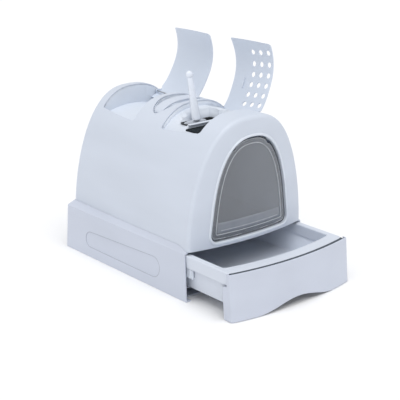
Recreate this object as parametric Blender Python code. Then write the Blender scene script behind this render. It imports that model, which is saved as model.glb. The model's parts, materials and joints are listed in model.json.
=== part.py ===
"""Hooded cat litter box: plinth, arched hood, pull-out litter drawer, two roof hatches, door and scoop.

Metres, +Z up. X is the width, the front faces -Y, and the origin is on the floor at the middle.
The box stands as it is used for cleaning: drawer pulled out, both roof hatches open, scoop in its slot.
"""
from math import asin, cos, hypot, pi, radians, sin, sqrt

import bmesh
import bpy
from mathutils import Matrix, Vector

# ---------------------------------------------------------------- driving dimensions
GAP = 0.0003                      # clearance between pieces that touch
WALL = 0.003                      # moulded wall of the hood and the plinth

# Hood: a tapering arch that stands on the plinth
HOOD_BASE_Z = 0.1203
HOOD_FRONT_Y = -0.232
HOOD_REAR_Y = 0.256
HOOD_HALF_FRONT = 0.1885
HOOD_HALF_REAR = 0.1715
HOOD_RISE = 0.3056
ARCH_SIDE_POWER = 2.62
ARCH_TOP_POWER = 1.86
HOOD_EDGE_RADIUS = 0.009
HOOD_REAR_LEAN = -0.056
ARCH_STEPS = 44

# Hood front: bowed in plan and leaning back
FACE_SIDE_Y = -0.2365
FACE_LEAN = 0.0225
FACE_BOW = 0.0215
FACE_HALF_WIDTH = 0.186

# Doorway and door
DOOR_BOTTOM_Z = 0.132
DOOR_RISE = 0.244
DOOR_HALF_WIDTH = 0.1285
DOOR_TAPER = 0.2
DOOR_SIDE_POWER = 3.5
DOOR_TOP_POWER = 2.4
DOOR_CORNER = 0.019
DOOR_AXIS_Y = -0.2430
DOOR_AXIS_Z = 0.362
DOOR_PIN_RADIUS = 0.0018
FLAP_DEPTH = 0.0050
FLAP_THICKNESS = 0.003
FLAP_CLEARANCE = 0.0026
SLEEVE_DEPTH = 0.0084
SLEEVE_CLEARANCE = 0.0025         # from the doorway's outline to the hood's cut edge

# Plinth
PLINTH_HALF_FLOOR = 0.200
PLINTH_HALF_TOP = 0.195
PLINTH_TOP_Z = 0.117
PLINTH_REAR_FLOOR = 0.262
PLINTH_REAR_TOP = 0.2595
PLINTH_FRONT_FLOOR = -0.244
PLINTH_FRONT_TOP = -0.231
PLINTH_CORNER = 0.010
FLANGE_WIDTH = 0.012

# Runners: angle rails inside the plinth
RUNNER_X = (0.165, 0.1935)
RUNNER_Y = (-0.222, 0.235)
RUNNER_Z = (0.0245, 0.046)
RUNNER_SHELF = 0.0027

# Roof openings and hatches
OPENING_RIGHT_X = 0.0968
FRONT_OPENING = (-0.1805, -0.0445)
REAR_OPENING = (0.0655, 0.2085)
OPENING_CORNER = 0.005
HATCH_CLEARANCE = 0.0015
HATCH_THICKNESS = 0.0028
SEAT_DEPTH = 0.0037
HINGE_X = 0.070
HINGE_DROP = 0.0145
HINGE_ROD_RADIUS = 0.002
HINGE_HOLE_RADIUS = 0.0024
HATCH_OPEN_ANGLE = radians(116)
FRONT_AXIS_TILT = (-0.030, -0.040)
REAR_AXIS_TILT = (0.020, 0.048)
TAIL_X = 0.056                    # right of this the hatch is narrower, to dip between the tray's walls
TAIL_INSET = 0.0052
TAIL_END_X = 0.0923
VENT_ROWS = 7
VENT_COLUMNS = 3
VENT_PITCH_X = 0.0262
VENT_PITCH_Y = 0.0267
VENT_FIRST = (-0.0895, -0.112)
VENT_RADIUS = 0.0070

# Carrying handle
HANDLE_CENTRE_Y = 0.0085
HANDLE_HALF_X = 0.0915
HANDLE_HALF_Y = 0.0405
HANDLE_BAR_HALF_Y = 0.0165
HANDLE_BAR_HALF_X = 0.0845

# Front compartment
LEDGE_DEPTH = 0.013
POCKET_FLOOR_Z = 0.3895
COLLAR_Z = 0.3803                # underside of the collar round the scoop slot
FILTER_FLOOR_Z = 0.3705
HINGE_WELL_Z = 0.369
WELL_X = 0.041                  # left wall of the hinge well
STEP_WIDTH = 0.0002
CATCH_SHARE = 0.70              # where along a hatch its stiffening rib stands
CATCH_X = (-0.028, 0.000)
SLOT_X = (-0.0885, 0.008)
SLOT_Y = (-0.112, -0.088)
FILTER_X = (-0.0985, 0.031)
FILTER_Y = (-0.1765, -0.1190)

# Scoop: stands in the slot, leaning back
SCOOP_X = -0.0494
SCOOP_SLOT_Y = -0.100
SCOOP_SLOT_Z = 0.389
SCOOP_LEAN = radians(14.3)
BLADE_HALF_WIDTH = 0.0382
STEM_FLATNESS = 0.72
BLADE_THICKNESS = 0.002
BLADE_BOTTOM_Z = 0.309
SHEATH_X = -0.040
SHEATH_BOTTOM_Z = 0.301

# Drawer, pulled out by DRAWER_OPEN
DRAWER_OPEN = 0.130
TRAY_BOTTOM_Z = 0.028
TRAY_TOP_Z = 0.1015
TRAY_HALF_TOP = 0.184
TRAY_HALF_BOTTOM = 0.177
TRAY_FRONT_Y = -0.3555
TRAY_REAR_Y = 0.1145
TRAY_WALL = 0.0025
TRAY_CORNER = 0.012
DRAWER_BOW = 0.020
RIM_TOP_Z = 0.113
RIM_HALF_OUTER = 0.1905
RIM_HALF_INNER = 0.1735
RIM_FRONT_OUTER = -0.378
RIM_FRONT_INNER = -0.345
RIM_REAR_OUTER = 0.118
RIM_REAR_INNER = 0.100
RIM_SKIRT_Z = 0.0835
RIM_CORNER_OUTER = 0.012
RIM_CORNER_INNER = 0.009
PANEL_SIDE_Y = -0.3895
PANEL_LEAN = 0.105
PANEL_BOW = 0.022
PANEL_HALF_WIDTH = 0.1965
PANEL_TOP_Z = 0.113
PANEL_BOTTOM_Z = 0.001
PANEL_NOTCH_Z = 0.083
CUTOUT_HALF_WIDTH = 0.13
CUTOUT_HEIGHT = 0.021

# Clips that hold the rim frame on the tray
CLIP_Y = (-0.2525, -0.2125)
CLIP_PIVOT_X = 0.1855
CLIP_PIVOT_Z = 0.0870

# Surface finishes: colour, roughness, metallic, alpha
FINISHES = {
    "white_shell": ((0.72, 0.76, 0.83), 0.38, 0.0, 1.0),
    "white_base": ((0.66, 0.70, 0.79), 0.42, 0.0, 1.0),
    "white_tray": ((0.64, 0.68, 0.76), 0.40, 0.0, 1.0),
    "white_trim": ((0.76, 0.79, 0.85), 0.36, 0.0, 1.0),
    "smoky_door": ((0.20, 0.21, 0.23), 0.15, 0.0, 0.6),
    "filter_black": ((0.012, 0.016, 0.02), 0.9, 0.0, 1.0),
    "scoop_plastic": ((0.70, 0.76, 0.82), 0.30, 0.0, 1.0),
    "steel": ((0.55, 0.56, 0.58), 0.30, 1.0, 1.0),
}


# ---------------------------------------------------------------- scene helpers
def clear_scene():
    for old in list(bpy.data.objects):
        bpy.data.objects.remove(old, do_unlink=True)


def finish_material(name):
    material = bpy.data.materials.get(name)
    if material is None:
        colour, roughness, metallic, alpha = FINISHES[name]
        material = bpy.data.materials.new(name)
        material.use_nodes = True
        shader = material.node_tree.nodes["Principled BSDF"]
        shader.inputs["Base Color"].default_value = (*colour, 1.0)
        shader.inputs["Roughness"].default_value = roughness
        shader.inputs["Metallic"].default_value = metallic
        shader.inputs["Alpha"].default_value = alpha
    return material


def mesh_object(name, vertices, faces, finish=None, smooth=35):
    """An object from vertices and faces, with its faces pointing out."""
    mesh = bpy.data.meshes.new(name)
    mesh.from_pydata([tuple(v) for v in vertices], [], faces)
    work = bmesh.new()
    work.from_mesh(mesh)
    bmesh.ops.remove_doubles(work, verts=work.verts, dist=1e-6)
    bmesh.ops.recalc_face_normals(work, faces=work.faces)
    work.to_mesh(mesh)
    work.free()
    mesh.shade_smooth()
    mesh.set_sharp_from_angle(angle=radians(smooth))
    made = bpy.data.objects.new(name, mesh)
    bpy.context.collection.objects.link(made)
    if finish:
        made.data.materials.append(finish_material(finish))
    return made


def loft(rings, loop=False):
    """Vertices and faces that join closed rings of equal length, capped unless they make a loop."""
    size = len(rings[0])
    vertices = [point for ring in rings for point in ring]
    faces = []
    spans = len(rings) if loop else len(rings) - 1
    for i in range(spans):
        first = i * size
        second = ((i + 1) % len(rings)) * size
        for j in range(size):
            k = (j + 1) % size
            faces.append((first + j, first + k, second + k, second + j))
    if not loop:
        faces.append(tuple(range(size))[::-1])
        last = (len(rings) - 1) * size
        faces.append(tuple(last + j for j in range(size)))
    return vertices, faces


def prism(name, outline, low, high, finish=None, axis="Z"):
    """A straight prism over an outline, between low and high along an axis."""
    def place(point, level):
        a, b = point
        return {"Z": (a, b, level), "Y": (a, level, b), "X": (level, a, b)}[axis]
    rings = [[place(p, low) for p in outline], [place(p, high) for p in outline]]
    return mesh_object(name, *loft(rings), finish)


def box(name, x, y, z, finish=None):
    outline = [(x[0], y[0]), (x[1], y[0]), (x[1], y[1]), (x[0], y[1])]
    return prism(name, outline, z[0], z[1], finish)


def boolean(target, others, operation):
    """Applies one exact Boolean for each other object, and removes those objects."""
    for other in others:
        step = target.modifiers.new(operation, "BOOLEAN")
        step.operation = operation
        step.object = other
        step.solver = "EXACT"
        graph = bpy.context.evaluated_depsgraph_get()
        result = bpy.data.meshes.new_from_object(target.evaluated_get(graph))
        target.modifiers.clear()
        target.data = result
        bpy.data.objects.remove(other, do_unlink=True)
    target.data.shade_smooth()
    target.data.set_sharp_from_angle(angle=radians(35))
    return target


def join_solids(target, *others):
    return boolean(target, others, "UNION")


def cut(target, *others):
    return boolean(target, others, "DIFFERENCE")


def rod(name, start, end, radius, finish=None, sides=16):
    """A round bar between two points."""
    start, end = Vector(start), Vector(end)
    turn = (end - start).to_track_quat("Z", "Y").to_matrix()
    circle = [Vector((radius * cos(2 * pi * k / sides), radius * sin(2 * pi * k / sides), 0))
              for k in range(sides)]
    rings = [[point + turn @ c for c in circle] for point in (start, end)]
    return mesh_object(name, *loft(rings), finish)


def set_origin(piece, point):
    """Moves an object's origin to a point without moving its shape."""
    point = Vector(point)
    piece.data.transform(Matrix.Translation(-point))
    piece.location = point


def spread(low, high, count):
    return [low + (high - low) * k / (count - 1) for k in range(count)]


# ---------------------------------------------------------------- hood surfaces
def hood_half_width(y):
    run = (y - HOOD_FRONT_Y) / (HOOD_REAR_Y - HOOD_FRONT_Y)
    return HOOD_HALF_FRONT + (HOOD_HALF_REAR - HOOD_HALF_FRONT) * run


def arch_z(x, y, inset=0.0):
    """Height of the hood's roof over a point, moved in by an inset."""
    half = hood_half_width(y) - inset
    reach = max(0.0, 1 - (abs(x) / half) ** ARCH_SIDE_POWER)
    return HOOD_BASE_Z + (HOOD_RISE - inset) * reach ** (1 / ARCH_TOP_POWER)


def face_y(x, z):
    """The hood's bowed front face."""
    bow = FACE_BOW * (1 - (x / FACE_HALF_WIDTH) ** 2)
    return FACE_SIDE_Y + FACE_LEAN * (z - HOOD_BASE_Z) - bow


def arch_ring(inset, offset_y, at_rear):
    """One arch of the hood, from the left foot over the crown to the right foot."""
    ring = []
    for step in range(ARCH_STEPS + 1):
        angle = pi - pi * step / ARCH_STEPS
        reach_x = abs(cos(angle)) ** (2 / ARCH_SIDE_POWER)
        if cos(angle) < 0:
            reach_x = -reach_x
        reach_z = max(0.0, sin(angle)) ** (2 / ARCH_TOP_POWER)
        if step in (0, ARCH_STEPS):
            reach_z = 0.0
        z = HOOD_BASE_Z + (HOOD_RISE - inset) * reach_z
        y = HOOD_REAR_Y if at_rear else HOOD_FRONT_Y
        for _ in range(3):
            x = (hood_half_width(y) - inset) * reach_x
            if at_rear:
                y = HOOD_REAR_Y + HOOD_REAR_LEAN * (z - HOOD_BASE_Z) - offset_y
            else:
                y = face_y(x, z) + offset_y
        ring.append((x, y, z))
    return ring


def hood_skin(inset):
    """Rings from the front face's edge, round the front fillet, back and round the rear fillet."""
    radius = HOOD_EDGE_RADIUS - inset
    rings = []
    for at_rear in (False, True):
        turns = spread(90, 0, 4) if not at_rear else spread(0, 90, 4)
        for turn in turns:
            angle = radians(turn)
            rings.append(arch_ring(inset + radius * (1 - cos(angle)),
                                   inset + radius * (1 - sin(angle)), at_rear))
    return rings


def build_hood():
    columns = 10
    vertices, faces = [], []

    def add_skin(inset):
        rings = hood_skin(inset)
        size = ARCH_STEPS + 1
        base = len(vertices)
        for ring in rings:
            vertices.extend(ring)
        for i in range(len(rings) - 1):
            for j in range(size - 1):
                a = base + i * size + j
                faces.append((a, a + 1, a + size + 1, a + size))
        ends = []
        for ring_index, bowed in ((0, True), (len(rings) - 1, False)):
            first = base + ring_index * size
            rows = []
            for row in range(ARCH_STEPS // 2):
                left, right = first + row, first + ARCH_STEPS - row
                line = [left]
                x_left, y_left, z = vertices[left]
                if bowed:
                    for column in range(1, columns):
                        x = x_left * (1 - 2 * column / columns)
                        line.append(len(vertices))
                        vertices.append((x, face_y(x, z) + inset, z))
                line.append(right)
                rows.append(line)
            for low, high in zip(rows, rows[1:]):
                for j in range(len(low) - 1):
                    faces.append((low[j], low[j + 1], high[j + 1], high[j]))
            crown = first + ARCH_STEPS // 2
            top = rows[-1]
            for j in range(len(top) - 1):
                faces.append((top[j], top[j + 1], crown))
            ends.append(rows[0])
        left_foot = [base + i * size for i in range(len(rings))]
        right_foot = [base + i * size + size - 1 for i in range(len(rings))]
        return left_foot[::-1] + ends[0][1:-1] + right_foot

    outer = add_skin(0.0)
    inner = add_skin(WALL)
    count = len(outer)
    for j in range(count):
        k = (j + 1) % count
        faces.append((outer[j], outer[k], inner[k], inner[j]))
    hood = mesh_object("hood_shell", vertices, faces, "white_shell", smooth=30)
    tools = [prism("cutter", door_outline(SLEEVE_CLEARANCE), -0.30, -0.20, axis="Y")]
    tools.append(slab("cutter", *FRONT_OPENING, 0.0, roof(-0.03), level(0.33)))
    tools.append(slab("cutter", *REAR_OPENING, 0.0, roof(-0.03), level(0.33)))
    tools.append(oval_slab("cutter", 0.0, roof(-0.03), level(0.33)))
    return cut(hood, *tools)


# ---------------------------------------------------------------- slabs that follow the roof
def roof(depth):
    """A surface that runs a depth inside the outside of the roof."""
    return lambda x, y: arch_z(x, y, depth)


def level(z):
    return lambda x, y: z


def opening_left(y):
    return -(0.114 - 0.25 * y * y) - HATCH_CLEARANCE


def grid_slab(name, rows, top, bottom, finish=None):
    """A solid over rows of plan points, between a top and a bottom surface."""
    width = len(rows[0])
    upper = [(x, y, top(x, y)) for row in rows for x, y in row]
    lower = [(x, y, bottom(x, y)) for row in rows for x, y in row]
    offset = len(upper)
    faces = []
    for i in range(len(rows) - 1):
        for j in range(width - 1):
            a = i * width + j
            quad = (a, a + 1, a + width + 1, a + width)
            faces.append(quad)
            faces.append(tuple(offset + v for v in quad[::-1]))
    border = [j for j in range(width)]
    border += [i * width + width - 1 for i in range(1, len(rows))]
    border += [(len(rows) - 1) * width + j for j in range(width - 2, -1, -1)]
    border += [i * width for i in range(len(rows) - 2, 0, -1)]
    for a, b in zip(border, border[1:] + border[:1]):
        faces.append((b, a, offset + a, offset + b))
    return mesh_object(name, upper + lower, faces, finish)


def corner_pull(distance, radius):
    """How far a rounded corner draws a side in, at a distance from the end."""
    if distance >= radius:
        return 0.0
    return radius - sqrt(max(0.0, radius ** 2 - (radius - distance) ** 2))


def slab(name, front, rear, inset, top, bottom, finish=None, step=None, columns=15):
    """A slab under one roof opening, inset from its edge, with a column of points at a step."""
    front, rear = front + inset, rear - inset
    radius = max(0.002, OPENING_CORNER - inset)
    ends = [radius * (1 - cos(radians(a))) for a in (30, 90)]
    stations = [front + e for e in [0.0] + ends] + spread(front + radius, rear - radius, 4)[1:-1]
    stations += [rear - e for e in ends[::-1] + [0.0]]
    rows = []
    for y in stations:
        pull = corner_pull(min(y - front, rear - y), radius)
        left = opening_left(y) + inset + pull
        right = OPENING_RIGHT_X - inset - pull
        fractions = spread(0.0, 1.0, columns)
        xs = [left + (right - left) * f for f in fractions]
        if step:
            nearest = min(range(1, columns - 2), key=lambda i: abs(xs[i] - step))
            xs[nearest], xs[nearest + 1] = step, step + STEP_WIDTH
        rows.append([(x, y) for x in xs])
    return grid_slab(name, rows, top, bottom, finish)


def oval_slab(name, inset, top, bottom, finish=None):
    """A slab under the handle's oval opening."""
    half_x, half_y = HANDLE_HALF_X - inset, HANDLE_HALF_Y - inset
    rows = []
    for turn in spread(-80, 80, 11):
        y = HANDLE_CENTRE_Y + half_y * sin(radians(turn))
        reach = half_x * cos(radians(turn))
        rows.append([(reach * f, y) for f in spread(-1.0, 1.0, 12)])
    return grid_slab(name, rows, top, bottom, finish)


# ---------------------------------------------------------------- doorway, rim and door
def door_half_width(z):
    u = min(1.0, max(0.0, (z - DOOR_BOTTOM_Z) / DOOR_RISE))
    reach = (1 - u ** DOOR_SIDE_POWER) ** (1 / DOOR_TOP_POWER)
    return DOOR_HALF_WIDTH * (1 - DOOR_TAPER * u) * reach


def offset_loop(points, distance):
    """A closed outline moved outwards by a distance."""
    moved = []
    count = len(points)
    for i, (x, z) in enumerate(points):
        ax, az = points[i - 1]
        bx, bz = points[(i + 1) % count]
        run = hypot(bx - ax, bz - az)
        moved.append((x + distance * (bz - az) / run, z - distance * (bx - ax) / run))
    return moved


def side_outline(half_width, bottom_z, top_steps, corner):
    """The right half of a doorway outline, from the bottom corner up to the crown."""
    points = []
    for turn in spread(-90, -8, 6):
        points.append((half_width(bottom_z + corner) - corner + corner * cos(radians(turn)),
                       bottom_z + corner + corner * sin(radians(turn))))
    first = asin(((corner * 1.25) / DOOR_RISE) ** (DOOR_SIDE_POWER / 2))
    for step in range(top_steps):
        angle = first + (pi / 2 - first) * (step / top_steps) ** 0.75
        z = DOOR_BOTTOM_Z + DOOR_RISE * sin(angle) ** (2 / DOOR_SIDE_POWER)
        points.append((half_width(z), z))
    return points


def door_outline(distance=0.0):
    """The doorway's outline, anticlockwise from the front, grown by a distance."""
    right = side_outline(door_half_width, DOOR_BOTTOM_Z, 18, DOOR_CORNER)
    crown = [(0.0, DOOR_BOTTOM_Z + DOOR_RISE)]
    left = [(-x, z) for x, z in right[::-1]]
    bottom = [(x, DOOR_BOTTOM_Z) for x in spread(left[-1][0], right[0][0], 9)[1:-1]]
    return offset_loop(right + crown + left + bottom, distance)


def flap_half_width(z):
    """The flap is narrower near its pins, so that it swings out through the rim."""
    drop = DOOR_AXIS_Z - z
    reach = SLEEVE_DEPTH + 0.004
    lift = drop - sqrt(max(0.0, drop ** 2 - reach ** 2)) if drop > 0 else 0.0
    return door_half_width(z + lift) - FLAP_CLEARANCE


def build_door_frame():
    section = [(0.0, -SLEEVE_DEPTH), (0.0, 0.0012), (0.0014, 0.0024), (0.0044, 0.0024),
               (0.0068, GAP), (0.0022, GAP), (0.0022, -SLEEVE_DEPTH)]
    loops = [door_outline(grow) for grow, _ in section]
    rings = []
    for i in range(len(loops[0])):
        rings.append([(loop[i][0], face_y(*loop[i]) - out, loop[i][1])
                      for loop, (_, out) in zip(loops, section)])
    frame = mesh_object("door_frame", *loft(rings, loop=True), "white_trim")
    for side in (-1, 1):
        inner = side * (door_half_width(DOOR_AXIS_Z) + 0.0016)
        outer = inner + side * 0.006
        lug = box("lug", sorted((inner, outer)), (DOOR_AXIS_Y - 0.0030, DOOR_AXIS_Y + 0.0050),
                  (DOOR_AXIS_Z - 0.005, DOOR_AXIS_Z + 0.005))
        join_solids(frame, lug)
        hole = rod("cutter", (inner - side * 0.004, DOOR_AXIS_Y, DOOR_AXIS_Z),
                   (outer + side * 0.004, DOOR_AXIS_Y, DOOR_AXIS_Z), DOOR_PIN_RADIUS + GAP)
        cut(frame, hole)
    return frame


def build_door():
    """The smoky flap, bowed like the hood's face, and its two pins."""
    top_z = DOOR_AXIS_Z + 0.0075
    bottom_z = DOOR_BOTTOM_Z + 0.0014
    heights = [bottom_z, bottom_z + 0.0015, bottom_z + 0.005, bottom_z + 0.011, bottom_z + 0.019]
    heights += spread(bottom_z + 0.03, DOOR_AXIS_Z - 0.022, 6)
    heights += [DOOR_AXIS_Z - d for d in (0.018, 0.0155, 0.0138, 0.0126, 0.0115, 0.004)] + [top_z]
    columns = spread(-1.0, 1.0, 13)

    def half_at(z):
        lift = z - bottom_z
        return flap_half_width(z) - corner_pull(lift, DOOR_CORNER)

    vertices, faces = [], []
    for back in (0, 1):
        for z in heights:
            for f in columns:
                x = half_at(z) * f
                vertices.append((x, face_y(x, z) + FLAP_DEPTH + back * FLAP_THICKNESS, z))
    width, tall = len(columns), len(heights)
    offset = width * tall
    for i in range(tall - 1):
        for j in range(width - 1):
            a = i * width + j
            quad = (a, a + 1, a + width + 1, a + width)
            faces.append(quad)
            faces.append(tuple(offset + v for v in quad[::-1]))
    border = list(range(width)) + [i * width + width - 1 for i in range(1, tall)]
    border += [(tall - 1) * width + j for j in range(width - 2, -1, -1)]
    border += [i * width for i in range(tall - 2, 0, -1)]
    for a, b in zip(border, border[1:] + border[:1]):
        faces.append((a, b, offset + b, offset + a))
    flap = mesh_object("door_flap", vertices, faces, "smoky_door")
    axis_point = (0.0, DOOR_AXIS_Y, DOOR_AXIS_Z)
    set_origin(flap, axis_point)
    for side, word in ((-1, "left"), (1, "right")):
        edge = side * (flap_half_width(DOOR_AXIS_Z) + GAP)
        pin = rod(f"door_pin_{word}", (edge, DOOR_AXIS_Y, DOOR_AXIS_Z),
                  (edge + side * 0.0095, DOOR_AXIS_Y, DOOR_AXIS_Z), DOOR_PIN_RADIUS, "steel")
        set_origin(pin, axis_point)


# ---------------------------------------------------------------- plinth
def plan_path():
    """Stations of the plinth from the left front, round the back, to the right front.

    Each is (corner arc turn or None, y for the sides, share across for the back).
    """
    stations = [("left", -1.0), ("left", -0.212), ("left", -0.200), ("left", 0.0)]
    stations += [("corner_left", turn) for turn in spread(0, 90, 6)]
    stations += [("back", -0.5), ("back", 0.5)]
    stations += [("corner_right", turn) for turn in spread(90, 0, 6)]
    stations += [("right", 0.0), ("right", -0.200), ("right", -0.212), ("right", -1.0)]
    return stations


def plan_point(station, half, rear, corner, front):
    """A plan point of one outline at a station; half may be a function of y."""
    kind, value = station
    side = -1 if kind.endswith("left") else 1
    half_at = half if callable(half) else (lambda y: half)
    if kind in ("left", "right"):
        y = front if value == -1.0 else value
        return side * half_at(y), y
    if kind.startswith("corner"):
        angle = radians(value)
        centre_y = rear - corner
        reach = half_at(centre_y) - corner
        return side * (reach + corner * cos(angle)), centre_y + corner * sin(angle)
    return value * (half_at(rear) - corner), rear


def build_plinth():
    def front_at(z):
        return PLINTH_FRONT_FLOOR + (PLINTH_FRONT_TOP - PLINTH_FRONT_FLOOR) * z / PLINTH_TOP_Z

    def wall_half(z):
        return PLINTH_HALF_FLOOR + (PLINTH_HALF_TOP - PLINTH_HALF_FLOOR) * z / PLINTH_TOP_Z

    def wall_rear(z):
        return PLINTH_REAR_FLOOR + (PLINTH_REAR_TOP - PLINTH_REAR_FLOOR) * z / PLINTH_TOP_Z

    def crease_z(station):
        kind, value = station
        if kind in ("left", "right") and value < -0.1:
            return {-1.0: 0.1203, -0.212: 0.1285, -0.200: 0.1315}[value]
        return 0.1285 if kind in ("left", "right") else 0.127

    def hood_edge(grow):
        return lambda y: hood_half_width(y) + grow

    rings = []
    for station in plan_path():
        top = crease_z(station)
        levels = []
        for z, inset in ((0.0, 0.0), (PLINTH_TOP_Z - 0.001, 0.0), (PLINTH_TOP_Z + 0.0006, 0.0016)):
            levels.append((wall_half(z) - inset, wall_rear(z) - inset, PLINTH_CORNER, z))
        for grow, z in ((GAP, top), (GAP, HOOD_BASE_Z - GAP), (-0.004, HOOD_BASE_Z - GAP),
                        (-0.004, HOOD_BASE_Z - 0.0038)):
            levels.append((hood_edge(grow), HOOD_REAR_Y + grow, HOOD_EDGE_RADIUS + grow, z))
        for z, inset in ((0.1147, WALL), (WALL, WALL), (WALL, WALL + FLANGE_WIDTH),
                         (0.0, WALL + FLANGE_WIDTH)):
            corner = max(0.004, PLINTH_CORNER - inset)
            levels.append((wall_half(z) - inset, wall_rear(z) - inset, corner, z))
        rings.append([(*plan_point(station, half, rear, corner, front_at(min(z, PLINTH_TOP_Z))), z)
                      for half, rear, corner, z in levels])
    plinth = mesh_object("plinth_frame", *loft(rings), "white_base")
    reach = PLINTH_HALF_FLOOR - 0.008
    for centre in (-0.205, 0.0):
        bar = box("bar", (-reach, reach), (centre - 0.015, centre + 0.015), (0.0, WALL - 0.0004))
        join_solids(plinth, bar)
    for side in (-1, 1):
        cut(plinth, side_recess(side, wall_half))
    return plinth


def side_recess(side, wall_half):
    """A shallow stadium pressed into the plinth's side."""
    depth = 0.0010
    rear_y, front_y = 0.147, -0.1145
    outline = []
    for turn in spread(-90, 90, 10):
        angle = radians(turn)
        outline.append((rear_y + 0.020 * cos(angle), 0.0475 + 0.020 * sin(angle)))
    for turn in spread(90, 270, 10):
        angle = radians(turn)
        outline.append((front_y + 0.0255 * cos(angle), 0.0528 + 0.0255 * sin(angle)))
    inner = [(side * (wall_half(z) - depth), y, z) for y, z in outline]
    outer = [(side * (wall_half(z) + 0.005), y, z) for y, z in outline]
    return mesh_object("cutter", *loft([inner, outer]))


def build_runners():
    """Angle rails with a screwed wall flange; the litter tray slides on them."""
    inner, outer = RUNNER_X
    low, high = RUNNER_Z
    for side, word in ((-1, "left"), (1, "right")):
        section = [(inner, low), (outer, low), (outer, high), (outer - 0.002, high),
                   (outer - 0.002, low + RUNNER_SHELF), (inner, low + RUNNER_SHELF)]
        outline = [(side * x, z) for x, z in section]
        prism(f"runner_{word}", outline, *RUNNER_Y, "white_base", axis="Y")


# ---------------------------------------------------------------- roof compartments
def hinge_frame(span, tilt):
    """A point on a hatch's hinge axis and the axis's direction."""
    middle = (span[0] + span[1]) / 2
    point = Vector((HINGE_X, middle, arch_z(HINGE_X, middle) - HINGE_DROP))
    return point, Vector((tilt[0], 1.0, tilt[1])).normalized()


def rear_floor(x, y):
    return 0.377 - 1.9 * (x + 0.01) ** 2


def lowered(surface, drop):
    return lambda x, y: surface(x, y) - drop


def front_floor(x, y):
    in_well = x > WELL_X + STEP_WIDTH / 2
    return HINGE_WELL_Z if in_well else arch_z(x, y) - LEDGE_DEPTH


def front_underside(x, y):
    under_well = x > WELL_X - 0.0024 + STEP_WIDTH / 2
    return (HINGE_WELL_Z if under_well else arch_z(x, y) - LEDGE_DEPTH) - 0.0022


def tray_shell(name, span, underside, step=None):
    """The flange under the roof joined with the tray's body, still without its hollow."""
    flange = slab(name, *span, -0.004, roof(SEAT_DEPTH), roof(SEAT_DEPTH + 0.0026), "white_trim")
    body = slab("body", *span, 0.0006, roof(SEAT_DEPTH + 0.0013), underside, step=step)
    return join_solids(flange, body)


def rod_holes(tray, span, tilt):
    point, axis = hinge_frame(span, tilt)
    cut(tray, rod("cutter", point - axis * 0.09, point + axis * 0.09, HINGE_ROD_RADIUS + GAP))


def build_front_tray():
    tray = tray_shell("front_tray", FRONT_OPENING, front_underside, WELL_X - 0.0024)
    collar = ((-0.0868, 0.0135), (-0.1180, -0.0790), COLLAR_Z)
    filter_well = ((FILTER_X[0] - 0.0040, FILTER_X[1] + 0.0025), (-0.1792, -0.1168),
                   FILTER_FLOOR_Z - 0.0024)
    for xs, ys, floor_z in (collar, filter_well):
        block = grid_slab("block", [[(x, y) for x in spread(*xs, 10)] for y in spread(*ys, 3)],
                          lowered(arch_z, LEDGE_DEPTH + 0.001), level(floor_z))
        join_solids(tray, block)
    cut(tray, slab("cutter", *FRONT_OPENING, 0.0026, roof(-0.01), front_floor,
                   step=WELL_X))
    rod_holes(tray, FRONT_OPENING, FRONT_AXIS_TILT)
    cut(tray, box("cutter", (-0.0892, 0.0112), (-0.1190, -0.081), (POCKET_FLOOR_Z, 0.43)))
    cut(tray, box("cutter", (FILTER_X[0] - 0.0008, FILTER_X[1] + 0.0006),
                  (FILTER_Y[0] - 0.0007, FILTER_Y[1] + 0.0006), (FILTER_FLOOR_Z, 0.43)))
    cut(tray, box("cutter", SLOT_X, SLOT_Y, (0.34, 0.42)))


def build_rear_tray():
    tray = tray_shell("rear_tray", REAR_OPENING, lowered(rear_floor, 0.0024))
    cut(tray, slab("cutter", *REAR_OPENING, 0.0026, roof(-0.01), rear_floor))
    rod_holes(tray, REAR_OPENING, REAR_AXIS_TILT)


def build_filter():
    pad = box("carbon_filter", FILTER_X, FILTER_Y, (FILTER_FLOOR_Z + GAP, 0.3825), "filter_black")
    bevel = pad.modifiers.new("Bevel", "BEVEL")
    bevel.width = 0.0015
    bevel.segments = 1
    bar = box("filter_bar", (-0.0885, 0.0108), (-0.1248, -0.1150),
              (POCKET_FLOOR_Z + GAP, POCKET_FLOOR_Z + 0.003), "white_trim")
    soften = bar.modifiers.new("Bevel", "BEVEL")
    soften.width = 0.001
    soften.segments = 2


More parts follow.
